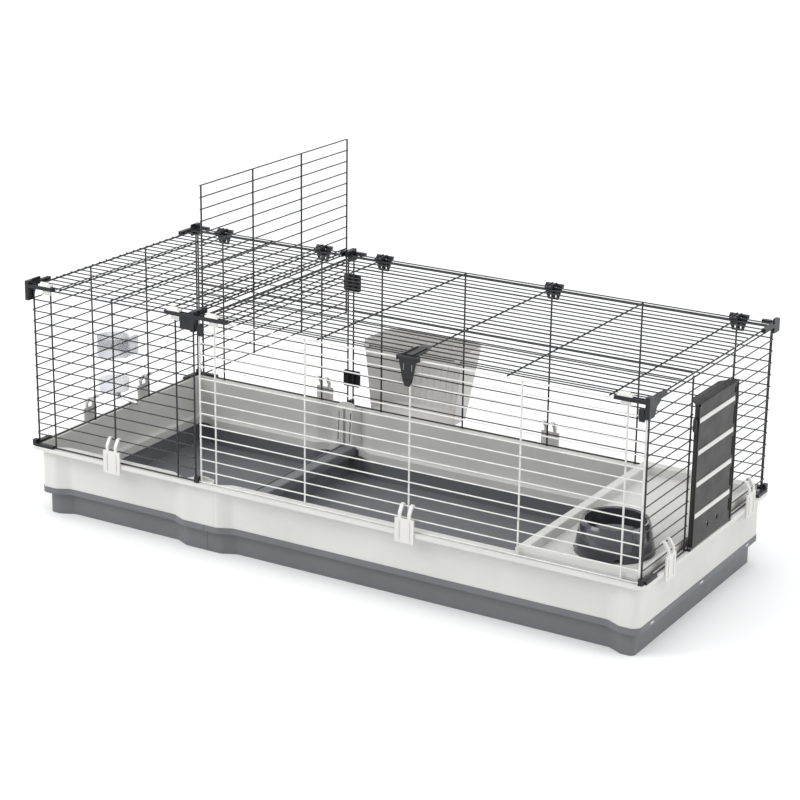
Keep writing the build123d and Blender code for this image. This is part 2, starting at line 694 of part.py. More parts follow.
def hinge_roof_leaf(x):
    """Centre knuckle and an arm that lies over the roof cross wire."""
    half = HINGE_CENTRE / 2
    z0 = ROOF_LONG_Z + ROOF_WIRE / 2
    z1 = HINGE_AXIS_Z + HINGE_KNUCKLE / 2
    y0 = HINGE_AXIS_Y - HINGE_ARM
    arm = block(x - half, x + half, y0, HINGE_AXIS_Y, z0, z1)
    arm = chamfer(arm.edges().filter_by(Axis.X).group_by(Axis.Y)[0].sort_by(Axis.Z)[-1:], HINGE_NOSE)
    rear_half = rod_x(x - half, x + half, HINGE_AXIS_Y, HINGE_AXIS_Z, HINGE_KNUCKLE)
    bore = rod_x(x - half, x + half, HINGE_AXIS_Y, HINGE_AXIS_Z, HINGE_PIN + GAP)
    rib_xs = [x + side * HINGE_RIB_PLACE - RIB / 2 for side in (-1, 1)]
    ribs = [block(rib_x, rib_x + RIB, y0 + HINGE_KNUCKLE, HINGE_AXIS_Y, z1, z1 + RIB) for rib_x in rib_xs]
    return arm + rear_half + ribs - bore


def build_hinges():
    left, right = hinge_places()
    save("hinge_panel_leaves", [hinge_panel_leaf(x) for x in left + right])
    save("hinge_roof_leaves_left", [hinge_roof_leaf(x) for x in left])
    save("hinge_roof_leaves_right", [hinge_roof_leaf(x) for x in right])
    half = HINGE_WIDTH / 2 + 1
    pins = [rod_x(x - half, x + half, HINGE_AXIS_Y, HINGE_AXIS_Z, HINGE_PIN) for x in left + right]
    save("hinge_pins", pins)


# Divider

def build_divider():
    pieces = []
    rows_x = DIVIDER_X - UPRIGHT / 2
    uprights_x = DIVIDER_X + WIRE / 2
    for row in range(DIVIDER_ROWS):
        z = DIVIDER_BOTTOM + WIRE / 2 + row * DIVIDER_PITCH
        pieces.append(wire_y(-DIVIDER_HALF, DIVIDER_HALF, rows_x, z, WIRE))
    top = DIVIDER_BOTTOM + WIRE + (DIVIDER_ROWS - 1) * DIVIDER_PITCH
    for k in range(4):
        y = -DIVIDER_HALF + k * DIVIDER_STEP
        pieces.append(wire_z(DIVIDER_BOTTOM, top, uprights_x, y, UPRIGHT))
    save("divider_panel", pieces)


# Connectors and clamps

def locking_loop(x0, x1):
    """Flat open frame over the top wire of a front panel. A roof lock slides in it."""
    y0 = -PANEL_Y - CONNECTOR_OUT
    y1 = -PANEL_Y - LOOP_BACK
    frame = block(x0, x1, y0, y1, CONNECTOR_SEAT, LOOP_TOP)
    opening = block(x0 + LOOP_END, x1 - LOOP_END, y0 + LOOP_BAR, y1 - LOOP_BAR, CONNECTOR_SEAT, LOOP_TOP)
    return frame - opening


def corner_connector(with_loop):
    """Right-hand corner: column beside the posts, end shield and side arm, with a loop at the front."""
    x0 = LONG_RIGHT + COLUMN_GAP
    x1 = PANEL_X + SHIELD_OUT
    y0 = -PANEL_Y - CONNECTOR_OUT
    y1 = -END_POST_Y - COLUMN_GAP
    bottom = CONNECTOR_BOTTOM if with_loop else PANEL_TOP - REAR_DROP
    y2 = y1 + (SHIELD_REACH if with_loop else REAR_REACH)
    z1 = CONNECTOR_BOTTOM + SHIELD_STEP
    column = block(x0, x1, y0, y1, bottom, CONNECTOR_TOP)
    arm = block(x0, x1, y1, y1 + SIDE_ARM, CONNECTOR_SEAT, CONNECTOR_SEAT + ARM_HEIGHT)
    if with_loop:
        lobe = SHIELD_REACH / 2
        outline = [
            (y0, CONNECTOR_TOP), (y0, bottom), (y2 - 1.5 * lobe, bottom), (y2 - lobe, z1 - SHIELD_ROUND),
            (y2 - lobe / 2, z1), (y2, z1 + SHIELD_ROUND), (y2, CONNECTOR_TOP),
        ]
    else:
        outline = [(y0, CONNECTOR_TOP), (y0, bottom), (y2, bottom), (y2, CONNECTOR_TOP)]
    shield = side_profile(outline, x1 - SHIELD_WALL, x1)
    shield = fillet(shield.edges().filter_by(Axis.X), SHIELD_ROUND)
    body = column + shield + arm
    if with_loop:
        return body + locking_loop(x0 - LOOP_LENGTH, x0 + LOOP_END)
    rear_arm = block(x0 - REAR_ARM, x0, y0, -PANEL_Y - EDGE_FACE, CONNECTOR_SEAT, REAR_ARM_TOP)
    return body + rear_arm


def middle_connector(with_loop):
    """Front middle: column between the two posts, face plate, loops and divider fork."""
    half = POST_PAIR / 2 - UPRIGHT / 2 - COLUMN_SIDE_GAP
    y0 = -PANEL_Y - CONNECTOR_OUT
    y1 = -DIVIDER_HALF - UPRIGHT / 2 - 2 * GAP
    bottom = CONNECTOR_BOTTOM if with_loop else PANEL_TOP - REAR_DROP
    body = block(DIVIDER_X - half, DIVIDER_X + half, y0, -END_POST_Y, bottom, CONNECTOR_TOP)
    fork_half = GUIDE_SLOT / 2 + FORK_WALL
    y2 = y1 + FORK_REACH
    slot_half = GUIDE_SLOT / 2
    fork = block(DIVIDER_X - fork_half, DIVIDER_X + fork_half, -END_POST_Y, y2, FORK_BOTTOM, CONNECTOR_TOP)
    mouth = block(DIVIDER_X - slot_half, DIVIDER_X + slot_half, y1, y2, FORK_BOTTOM, CONNECTOR_TOP)
    body = body + (fork - mouth)
    if with_loop:
        plate = block(DIVIDER_X - half - FACE_PLATE, DIVIDER_X - half, -PANEL_Y - FACE_PLATE_OUT,
                      -PANEL_Y - EDGE_FACE - GAP, CONNECTOR_BOTTOM, CONNECTOR_SEAT)
        left = locking_loop(DIVIDER_X - half - LOOP_LENGTH, DIVIDER_X - half + LOOP_END)
        right = locking_loop(DIVIDER_X + half - LOOP_END, DIVIDER_X + half + LOOP_LONG)
        return body + plate + left + right
    arm = block(DIVIDER_X - half - REAR_ARM, DIVIDER_X + half + REAR_ARM, y0, -PANEL_Y - EDGE_FACE,
                CONNECTOR_SEAT, REAR_ARM_TOP)
    return body + arm


def build_connectors():
    front = corner_connector(True)
    rear = corner_connector(False).mirror(Plane.XZ)
    save("top_connector_front_right", front)
    save("top_connector_front_left", front.mirror(Plane.YZ))
    save("top_connector_rear_right", rear)
    save("top_connector_rear_left", rear.mirror(Plane.YZ))
    save("top_connector_front_middle", middle_connector(True))
    save("top_connector_rear_middle", middle_connector(False).mirror(Plane.XZ))


def clamp_arm_x(x_end, reach):
    """Arm along a long wall, hooked over the lowest wire from outside. Front side, towards +X."""
    y_in = -PANEL_Y - EDGE_FACE + EDGE_WIRE - GAP
    y_out = -HALF_DEPTH + CLAMP_EDGE
    top = RIM_TOP + CLAMP_ARM_HEIGHT
    outer = block(x_end - reach, x_end, y_out, -PANEL_Y - EDGE_FACE - GAP, RIM_TOP, top)
    cover = block(x_end - reach, x_end, y_out, y_in, RIM_TOP + EDGE_WIRE + GAP, top)
    return outer + cover


def clamp_arm_y(y_end, reach):
    """The same along the end wall, from the front corner to the rear."""
    x_out = HALF_LENGTH - CLAMP_EDGE
    x_in = PANEL_X + EDGE_FACE - EDGE_WIRE + GAP
    top = RIM_TOP + CLAMP_ARM_HEIGHT
    outer = block(PANEL_X + EDGE_FACE + GAP, x_out, y_end, y_end + reach, RIM_TOP, top)
    cover = block(x_in, x_out, y_end, y_end + reach, RIM_TOP + EDGE_WIRE + GAP, top)
    return outer + cover


def build_clamps():
    """Clamps on the rim that hold the foot of each corner and of each post pair."""
    x0 = LONG_RIGHT + COLUMN_GAP
    x1 = PANEL_X + SHIELD_OUT
    y0 = -PANEL_Y - CLAMP_OUT
    y1 = -END_POST_Y - UPRIGHT / 2 - GAP
    half = POST_PAIR / 2 - UPRIGHT / 2 - COLUMN_SIDE_GAP
    column = block(x0, x1, y0, y1, RIM_TOP, RIM_TOP + CLAMP_HEIGHT)
    door_corner = column + clamp_arm_y(y1, CLAMP_ARM)
    corner = door_corner + clamp_arm_x(x0, CLAMP_ARM)
    middle = block(DIVIDER_X - half, DIVIDER_X + half, y0, y1, RIM_TOP, RIM_TOP + CLAMP_HEIGHT)
    axle_y = -PANEL_Y - row_shift(0, ROWS)
    bore = rod_x(DOOR_AXLE_LEFT - GAP, DOOR_AXLE_RIGHT + GAP, axle_y, DOOR_AXLE_Z, EDGE_WIRE + 2 * GAP)
    pieces = [
        door_corner - bore,
        middle - bore,
        corner.mirror(Plane.YZ),
        corner.mirror(Plane.XZ),
        corner.mirror(Plane.XZ).mirror(Plane.YZ),
        middle.mirror(Plane.XZ),
    ]
    save("bottom_corner_clamps", pieces)


def build_joining_plates():
    """Two plates over the paired rear posts, each with four dimples."""
    y0 = PANEL_Y + WIRE / 2
    y1 = y0 + JOIN_PLATE_DEPTH
    pieces = []
    for row in (JOIN_ROW_LOW, JOIN_ROW_HIGH):
        z = FIRST_ROW + row * ROW_PITCH + ROW_PITCH / 2
        plate = Pos(DIVIDER_X, (y0 + y1) / 2, z) * Box(JOIN_PLATE_WIDTH, y1 - y0, JOIN_PLATE_HEIGHT)
        plate = fillet(plate.edges().filter_by(Axis.Y), JOIN_PLATE_CORNER)
        dimples = [
            Pos(DIVIDER_X + sx * JOIN_PLATE_WIDTH / 4, y0, z + sz * JOIN_PLATE_HEIGHT / 5)
            * Box(JOIN_DIMPLE, JOIN_PLATE_DEPTH / 2, JOIN_DIMPLE)
            for sx in (-1, 1) for sz in (-1, 1)
        ]
        pieces.append(plate - dimples)
    save("rear_joining_plates", pieces)


# Front latch and roof locks

def build_latch():
    """Arm on the roof cross wire, carrier on the door top wire, and the tongue below."""
    x = LONG_CENTRE
    arm_y0 = TONGUE_AXIS_Y + TONGUE_KNUCKLE / 2 + GAP
    z0 = ROOF_LONG_Z + ROOF_WIRE / 2
    outline = [(x - LATCH_HALF, arm_y0), (x + LATCH_HALF, arm_y0), (x + LATCH_HALF, arm_y0 + LATCH_ARM / 2),
               (x + LATCH_HALF / 2, arm_y0 + LATCH_ARM), (x - LATCH_HALF / 2, arm_y0 + LATCH_ARM),
               (x - LATCH_HALF, arm_y0 + LATCH_ARM / 2)]
    arm = slab(make_face(Polyline(*outline, close=True)), z0, z0 + LATCH_PLATE)
    rib_z = z0 + LATCH_PLATE
    rib_xs = [x + side * LATCH_RIB_PLACE - RIB / 2 for side in (-1, 1)]
    ribs = [block(rib_x, rib_x + RIB, arm_y0, arm_y0 + 0.7 * LATCH_ARM, rib_z, rib_z + RIB) for rib_x in rib_xs]
    save("latch_arm", arm + ribs)
    carrier_y0 = TONGUE_AXIS_Y - TONGUE_KNUCKLE / 2
    carrier_y1 = -PANEL_Y - EDGE_FACE
    ears = []
    for s in (-1, 1):
        ex = x + s * (TONGUE_TOP_HALF + GAP + CARRIER_EAR / 2)
        ear = block(ex - CARRIER_EAR / 2, ex + CARRIER_EAR / 2, carrier_y0, carrier_y1,
                    TOP_ROW - EDGE_WIRE / 2, TONGUE_AXIS_Z + TONGUE_KNUCKLE / 2 - GAP)
        ears.append(ear)
    pin = rod_x(x - TONGUE_TOP_HALF - CARRIER_EAR, x + TONGUE_TOP_HALF + CARRIER_EAR, TONGUE_AXIS_Y,
                TONGUE_AXIS_Z, TONGUE_PIN)
    save("latch_carrier", ears[0] + ears[1] + pin)
    y0 = TONGUE_AXIS_Y - TONGUE_PLATE / 2
    y1 = TONGUE_AXIS_Y + TONGUE_PLATE / 2
    top = TONGUE_AXIS_Z
    bottom = top - TONGUE_LENGTH
    foot = TONGUE_FOOT_HALF
    shape = [(x - TONGUE_TOP_HALF, top), (x - foot, bottom + foot), (x - foot / 2, bottom),
             (x + foot / 2, bottom), (x + foot, bottom + foot), (x + TONGUE_TOP_HALF, top)]
    tongue = front_profile(shape, y0, y1)
    knuckle = rod_x(x - TONGUE_TOP_HALF, x + TONGUE_TOP_HALF, TONGUE_AXIS_Y, TONGUE_AXIS_Z, TONGUE_KNUCKLE)
    bore = rod_x(x - TONGUE_TOP_HALF, x + TONGUE_TOP_HALF, TONGUE_AXIS_Y, TONGUE_AXIS_Z, TONGUE_PIN + GAP)
    slot_top = top - TONGUE_SLOT_DROP
    slot_xs = [x + side * TONGUE_SLOT_PLACE - TONGUE_SLOT / 2 for side in (-1, 1)]
    slots = [block(slot_x, slot_x + TONGUE_SLOT, y0, y1, slot_top - TONGUE_SLOT_LENGTH, slot_top)
             for slot_x in slot_xs]
    grip_z = bottom + foot
    grip = block(x - TONGUE_SLOT_PLACE, x + TONGUE_SLOT_PLACE, y0 - TONGUE_GRIP, y0, grip_z, grip_z + TONGUE_SLOT)
    save("latch_tongue", tongue + knuckle + grip - bore - slots)


def build_door_top_clips():
    """Small blocks beside the end posts of the door, near its top."""
    y1 = -PANEL_Y - WIRE / 2
    z0 = TOP_ROW - TOP_CLIP_DROP
    inner = UPRIGHT / 2
    pieces = []
    for x0 in (LONG_LEFT + inner, LONG_RIGHT - inner - TOP_CLIP_WIDTH):
        x1 = x0 + TOP_CLIP_WIDTH
        body = block(x0, x1, y1 - TOP_CLIP_DEPTH, y1, z0, z0 + ROW_PITCH)
        step = block(x0, x1, y1 - TOP_CLIP_DEPTH, y1 - TOP_CLIP_DEPTH / 2, z0, z0 + ROW_PITCH / 3)
        pieces.append(body - step)
    save("door_top_clips", pieces)


def roof_lock(x):
    """Sliding lock: pad with a raised fin, stem in the loop, nose that slides over the roof edge."""
    half = LOCK_LENGTH / 2
    stem_y1 = -PANEL_Y - LOOP_BACK - LOOP_BAR - LOCK_TRAVEL - GAP
    stem_y0 = stem_y1 - LOCK_STEM
    pad_y0 = -PANEL_Y - CONNECTOR_OUT + LOCK_EDGE
    pad_y1 = -PANEL_Y - LOOP_BACK + LOCK_EDGE
    pad_z = LOOP_TOP + GAP
    pad_top = pad_z + LOCK_PAD
    fin_top = pad_top + LOCK_FIN
    pad = block(x - half, x + half, pad_y0, pad_y1, pad_z, pad_top)
    fin_outline = [(stem_y0 - LOCK_FIN_FOOT, pad_top), (stem_y0, fin_top), (stem_y1, fin_top),
                   (stem_y1 + LOCK_FIN_FOOT, pad_top)]
    fin = side_profile(fin_outline, x - LOCK_FIN_HALF, x + LOCK_FIN_HALF)
    stem = block(x - LOCK_STEM_HALF, x + LOCK_STEM_HALF, stem_y0, stem_y1, CONNECTOR_SEAT + GAP, pad_z)
    return pad + fin + stem


def build_locks():
    places = {
        "roof_lock_1": -PANEL_X + LOCK_FROM_CORNER,
        "roof_lock_2": DIVIDER_X - LOCK_FROM_MIDDLE,
        "roof_lock_3": DIVIDER_X + LOCK_FROM_MIDDLE,
        "roof_lock_4": PANEL_X - LOCK_FROM_CORNER,
    }
    for name, x in places.items():
        save(name, roof_lock(x))
    xs = list(places.values())
    save("lock_catches_panel", [lock_catch(x) for x in xs[:2]])
    save("lock_catches_door", [lock_catch(x) for x in xs[2:]])


def lock_catch(x):
    """Small hook plate clamped on the front of a panel top wire."""
    y1 = -PANEL_Y - EDGE_FACE
    y0 = y1 - CATCH_DEPTH
    z0 = TOP_ROW - CATCH_DROP
    plate = block(x - CATCH_HALF, x + CATCH_HALF, y0, y1, z0, TOP_ROW + EDGE_WIRE / 2)
    lip = block(x - CATCH_HALF, x + CATCH_HALF, y0 - CATCH_DEPTH / 2, y0, z0, z0 + CATCH_LIP)
    return plate + lip


# Tray clips

def tray_clip():
    """Clip hung on a wire along X at the origin. Outside is towards negative Y."""
    r = WIRE / 2 + GAP
    out = CLIP_STAND
    hook = [
        (-out, -CLIP_FORK), (-out, -CLIP_FORK / 2), (-r - CLIP_WALL, r + CLIP_WALL * 0.6),
        (-r / 2, r + CLIP_WALL), (r, r + CLIP_WALL), (r + CLIP_WALL, r), (r + CLIP_WALL * 0.8, -r),
        (r + 0.2, -r), (r, r / 2), (r / 2, r), (-r / 2, r), (-r, r / 2), (-r, -r),
        (-out + CLIP_WALL, -CLIP_FORK / 2 - CLIP_WALL), (-out + CLIP_WALL, -CLIP_FORK),
    ]
    prongs = []
    for s in (-1, 1):
        x0 = s * CLIP_WIDTH / 4 - CLIP_PRONG / 2
        prongs.append(side_profile(hook, x0, x0 + CLIP_PRONG))
    half = CLIP_WIDTH / 2
    bottom = -CLIP_HEIGHT
    plate = block(-half, half, -out, -out + CLIP_WALL, bottom, -CLIP_FORK)
    catch_top = CLIP_CATCH_TOP
    tooth_y = -out + CLIP_WALL + CLIP_TOOTH
    tooth = [
        (-out, catch_top - CLIP_TOOTH_HEIGHT), (-out + CLIP_WALL, catch_top - CLIP_TOOTH_HEIGHT),
        (tooth_y, catch_top - 1), (tooth_y, catch_top), (-out, catch_top),
    ]
    catch = side_profile(tooth, -CLIP_TOOTH_HALF, CLIP_TOOTH_HALF)
    rib_xs = [side * CLIP_RIB_PLACE - RIB / 2 for side in (-1, 1)]
    ribs = [
        block(rib_x, rib_x + RIB, -out - CLIP_RIB_DEPTH, -out, bottom + CLIP_RIB_INSET, -CLIP_FORK - CLIP_RIB_INSET)
        for rib_x in rib_xs
    ]
    return plate + prongs + catch + ribs


def build_tray_clips():
    z = CLIP_WIRE_Z
    clip = tray_clip()
    front = {"tray_clip_front_left": SHORT_CENTRE, "tray_clip_front_door": LONG_CENTRE}
    rear = {"tray_clip_rear_left": SHORT_CENTRE + REAR_SHORT_STEP, "tray_clip_rear_right": LONG_CENTRE}
    for name, x in front.items():
        save(name, Pos(x, -PANEL_Y, z) * clip)
    for name, x in rear.items():
        save(name, Pos(x, PANEL_Y, z) * Rot(0, 0, 180) * clip)
    for name, y in {"tray_clip_left_end_1": -DOORWAY_HALF, "tray_clip_left_end_2": DOORWAY_HALF}.items():
        save(name, Pos(-PANEL_X, y, z) * Rot(0, 0, -90) * clip)
    mid = (END_POST_Y + DOORWAY_HALF) / 2
    for name, y in {"tray_clip_right_end_1": -mid, "tray_clip_right_end_2": mid}.items():
        save(name, Pos(PANEL_X, y, z) * Rot(0, 0, 90) * clip)


# Ladder

def ladder_window(y, z0, z1, width):
    """Opening through the front plate of the ladder."""
    return block(LADDER_OUTER - LADDER_WALL, LADDER_OUTER, y - width / 2, y + width / 2, z0, z1)


def ladder_body():
    """Folding ladder, drawn upright about its pin at the origin: plate, side walls and top shelf."""
    half = LADDER_WIDTH / 2
    outer = LADDER_OUTER
    inner = outer - LADDER_DEPTH
    top = LADDER_LENGTH
    body = block(inner, outer, -half, half, -LADDER_FOOT, top)
    pocket = block(inner, outer - LADDER_WALL, -half + LADDER_WALL, half - LADDER_WALL,
                   -LADDER_FOOT, top - LADDER_WALL)
    tip = inner - LADDER_TOP_SHELF
    shelf_points = [(outer, -half), (outer, half), (inner, half), (tip, LADDER_TOP_HALF),
                    (tip, -LADDER_TOP_HALF), (inner, -half)]
    shelf = slab(make_face(Polyline(*shelf_points, close=True)), top - LADDER_WALL, top)
    shelf = fillet(shelf.edges().filter_by(Axis.Z).group_by(Axis.X)[0], LADDER_TOP_SHELF / 2)
    body = body - pocket + shelf
    for side in (-1, 1):
        y0 = side * LADDER_BARREL_PLACE - LADDER_BARREL_WIDTH / 2
        body = body + wire_y(y0, y0 + LADDER_BARREL_WIDTH, 0, 0, LADDER_BARREL)
        tab_y = min(side * half, side * (half + LADDER_TAB))
        body = body + block(inner + 1, outer - 1, tab_y, tab_y + LADDER_TAB, LADDER_TAB_UP,
                            LADDER_TAB_UP + LADDER_TAB_HEIGHT)
    body = body - wire_y(-half, half, 0, 0, LADDER_PIN + 2 * GAP)
    slot_y = half - LADDER_SLOT_IN
    slot_ends = [STRIP_FIRST + k * STRIP_PITCH for k in range(STRIPS)] + [top]
    slot_start = LADDER_HOLE_UP
    for end in slot_ends:
        body = body - ladder_window(slot_y, slot_start, end - LADDER_HOLE, LADDER_SLOT)
        slot_start = end + STRIP_HEIGHT + LADDER_HOLE / 2
    for y in (-LADDER_HOLE_SPACING, LADDER_HOLE_SPACING):
        body = body - ladder_window(y, LADDER_HOLE_UP, LADDER_HOLE_UP + LADDER_HOLE, LADDER_HOLE)
    return body


def build_ladder():
    half = LADDER_WIDTH / 2
    place = Pos(LADDER_AXIS_X, 0, LADDER_AXIS_Z)
    save("ladder", place * ladder_body())
    strips = []
    for k in range(STRIPS):
        z = STRIP_FIRST + k * STRIP_PITCH
        strips.append(block(LADDER_OUTER, LADDER_OUTER + STRIP_PROUD, -half + LADDER_WALL,
                            half - 2 * LADDER_SLOT_IN + LADDER_SLOT, z, z + STRIP_HEIGHT))
    save("ladder_strips", [place * strip for strip in strips])
    ear_y = half + 2 * GAP
    x0 = PANEL_X + EDGE_WIRE
    x1 = LADDER_AXIS_X + LADDER_BARREL / 2
    ears = []
    for side in (-1, 1):
        y0 = min(side * ear_y, side * (ear_y + LADDER_EAR))
        ear = block(x0, x1, y0, y0 + LADDER_EAR, RIM_TOP, LADDER_AXIS_Z + LADDER_BARREL / 2)
        ears.append(ear - rod_y(y0, y0 + LADDER_EAR, LADDER_AXIS_X, LADDER_AXIS_Z, LADDER_PIN))
    save("ladder_brackets", ears)
    reach = ear_y + LADDER_EAR
    save("ladder_pin", rod_y(-reach, reach, LADDER_AXIS_X, LADDER_AXIS_Z, LADDER_PIN))


# Inside fittings

def build_shelf():
    """Shallow tray that hangs in the collar and rests on its rim."""
    rim_face = Pos((SHELF_LEFT + SHELF_RIGHT) / 2, 0) * Rectangle(SHELF_WIDTH, 2 * SHELF_HALF)
    well_right = SHELF_RIGHT - SHELF_WALL
    well_face = Pos((SHELF_LEFT + well_right) / 2, 0) * Rectangle(well_right - SHELF_LEFT, 2 * SHELF_WELL_HALF)
    under = SHELF_FLOOR - SHELF_WALL
    body = slab(rim_face, RIM_TOP, SHELF_TOP) + slab(well_face, under, RIM_TOP)
    pocket_left = SHELF_LEFT + SHELF_BORDER
    pocket_right = SHELF_RIGHT - SHELF_BORDER / 2
    pocket_face = Pos((pocket_left + pocket_right) / 2, 0) * RectangleRounded(
        pocket_right - pocket_left, 2 * (SHELF_WELL_HALF - SHELF_WALL), SHELF_BORDER / 2)
    body = body - slab(pocket_face, SHELF_FLOOR, SHELF_TOP + 1)
    hollow_right = SHELF_LEFT + SHELF_BORDER - SHELF_WALL
    body = body - block(SHELF_LEFT + SHELF_WALL, hollow_right, -SHELF_WELL_HALF + SHELF_WALL,
                        SHELF_WELL_HALF - SHELF_WALL, under, SHELF_TOP - SHELF_WALL)
    top_edges = body.edges().filter_by(Axis.Y).group_by(Axis.Z)[-1].sort_by(Axis.X)
    body = fillet(top_edges[0:2], SHELF_WALL)
    save("shelf", body)


def build_bowl():
    """Turned bowl with a flared foot and four arched cut-outs under it."""
    h = BOWL_HEIGHT
    base = BOWL_BASE_RADIUS
    rim = BOWL_RIM_RADIUS
    outline = [
        (0, h * 0.16), (base * 0.86, h * 0.16), (base * 0.92, 0), (base, 0), (base * 0.96, h * 0.24),
        (rim + BOWL_WALL * 1.4, h * 0.9), (rim + BOWL_WALL / 2, h), (rim - BOWL_WALL, h * 0.97),
        (rim * 0.93, h * 0.45), (rim * 0.62, h * 0.24), (0, h * 0.2),
    ]
    body = revolve(Plane.XZ * make_face(Polyline(*outline, close=True)), Axis.Z)
    arch = Rot(90, 0, 0) * Cylinder(h * BOWL_ARCH, 3 * base)
    for turn in (0, 90):
        body = body - Rot(0, 0, turn + BOWL_TURN) * arch
    save("bowl", Pos(BOWL_X, BOWL_Y, SHELF_FLOOR + GAP) * body)


def rack_plan(grow, depth, z):
    """Plan of the rack at one height: square at the panel, rounded at the back."""
    y0 = PANEL_Y + EDGE_FACE + GAP
    x0 = RACK_LEFT + grow
    x1 = RACK_RIGHT - grow
    face = Pos((x0 + x1) / 2, y0 + depth / 2, z) * Rectangle(x1 - x0, depth)
    back = [v for v in face.vertices() if v.Y > y0 + depth / 2]
    return fillet(back, RACK_CORNER)


def build_hay_rack():
    """Open bin outside the rear panel: back, sides and floor, open top and open front."""
    y0 = PANEL_Y + EDGE_FACE + GAP
    foot = RACK_DEPTH * RACK_FOOT
    outer = loft([rack_plan(RACK_TAPER, foot, RACK_BOTTOM), rack_plan(0, RACK_DEPTH, RACK_TOP)])
    inner = loft([rack_plan(RACK_TAPER + RACK_WALL, foot - RACK_WALL, RACK_BOTTOM),
                  rack_plan(RACK_WALL, RACK_DEPTH - RACK_WALL, RACK_TOP)])
    floor = block(RACK_LEFT, RACK_RIGHT, y0, y0 + RACK_DEPTH, RACK_BOTTOM, RACK_BOTTOM + RACK_WALL)
    row_z = FIRST_ROW + RACK_HOOK_ROW * ROW_PITCH
    hook_top = row_z + WIRE / 2 + GAP + RACK_WALL
    inside = PANEL_Y - WIRE / 2 - GAP
    body = (outer - inner) + (outer & floor)
    hooks = []
    for x in (RACK_LEFT + RACK_WALL, RACK_RIGHT - RACK_WALL - RACK_HOOK_WIDTH):
        x1 = x + RACK_HOOK_WIDTH
        body = body + block(x - RACK_WALL / 2, x1 + RACK_WALL / 2, y0, y0 + RACK_WALL,
                            row_z - RACK_HOOK_WIDTH, RACK_TOP)
        over = block(x, x1, inside - RACK_WALL, y0, hook_top - RACK_WALL, hook_top)
        nose = block(x, x1, inside - RACK_WALL, inside, row_z - RACK_WALL, hook_top - RACK_WALL)
        hooks.append(over + nose)
    save("hay_rack", body)
    save("hay_rack_hooks", hooks)


def build_bottle():
    """Upside-down bottle in a ring bracket outside the left end, spout through the wires."""
    place = Pos(BOTTLE_X, BOTTLE_Y, 0)
    r = BOTTLE_RADIUS
    neck_r = r - BOTTLE_NECK_STEP
    bore_r = r - BOTTLE_WALL
    top_r = r - BOTTLE_SHOULDER / 2
    end_r = r / 3
    z0 = BOTTLE_CAP_TOP
    z1 = BOTTLE_TOP
    shoulder = z1 - BOTTLE_SHOULDER
    bend = z1 - BOTTLE_SHOULDER / 3
    outer = [(neck_r, z0), (r, z0 + BOTTLE_NECK_STEP), (r, shoulder), (top_r, bend), (end_r, z1)]
    inner = [(end_r, z1 - BOTTLE_WALL), (top_r - BOTTLE_WALL, bend - BOTTLE_WALL), (bore_r, shoulder - BOTTLE_WALL),
             (bore_r, z0 + BOTTLE_NECK_STEP), (neck_r - BOTTLE_WALL, z0)]
    profile = make_face(Polyline((0, z1), *reversed(outer), *reversed(inner), (0, z1 - BOTTLE_WALL), close=True))
    save("bottle", place * revolve(Plane.XZ * profile, Axis.Z))
    cap_r = r + BOTTLE_CAP_PROUD
    cap_outline = [(0, BOTTLE_CAP_BOTTOM), (r / 2, BOTTLE_CAP_BOTTOM), (r, BOTTLE_CAP_BOTTOM + BOTTLE_CAP_TAPER),
                   (cap_r, z0), (0, z0)]
    save("bottle_cap", place * revolve(Plane.XZ * make_face(Polyline(*cap_outline, close=True)), Axis.Z))
    start = Vector(BOTTLE_X + r / 3, BOTTLE_Y, BOTTLE_CAP_BOTTOM - 1.5 * SPOUT_RADIUS)
    end = Vector(-PANEL_X + SPOUT_REACH, BOTTLE_Y, SPOUT_END_Z)
    spout_plane = Plane(origin=start, z_dir=end - start)
    tube = extrude(spout_plane * Circle(SPOUT_RADIUS), amount=(end - start).length)
    neck = Pos(start.X, start.Y, start.Z + SPOUT_RADIUS / 4) * Cylinder(1.3 * SPOUT_RADIUS, 2.5 * SPOUT_RADIUS)
    save("bottle_spout", tube + neck)
    plate_x1 = -PANEL_X - WIRE / 2 - GAP
    ring_in = r + GAP
    ring_face = Circle(ring_in + HOLDER_WALL) - Circle(ring_in)
    ring_body = Pos(0, 0, HOLDER_BOTTOM) * extrude(ring_face, amount=HOLDER_HEIGHT)
    plate = block(BOTTLE_X + ring_in, plate_x1, BOTTLE_Y - HOLDER_EDGE, BOTTLE_Y + HOLDER_PLATE,
                  HOLDER_BOTTOM, HOLDER_BOTTOM + HOLDER_HEIGHT)
    bottle_space = Pos(BOTTLE_X, BOTTLE_Y, HOLDER_BOTTOM + HOLDER_HEIGHT / 2) * Cylinder(ring_in, HOLDER_HEIGHT)
    hole_place = Pos(plate_x1, BOTTLE_Y + HOLDER_PLATE - 2 * HOLDER_HOLE, HOLDER_BOTTOM + HOLDER_HEIGHT / 3)
    hole = hole_place * Rot(0, 90, 0) * Cylinder(HOLDER_HOLE, HOLDER_PLATE)
    save("bottle_holder", (place * ring_body) + (plate - bottle_space - hole))


os.makedirs("parts", exist_ok=True)
build_trays()
build_joint()
build_panels()
build_front_door()
build_roofs()
build_hinges()
build_divider()
build_connectors()
build_clamps()
build_joining_plates()
build_latch()
build_door_top_clips()
build_locks()
build_tray_clips()
build_ladder()
build_shelf()
build_bowl()
build_hay_rack()
build_bottle()
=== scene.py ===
import math
import bpy
from mathutils import Matrix, Vector


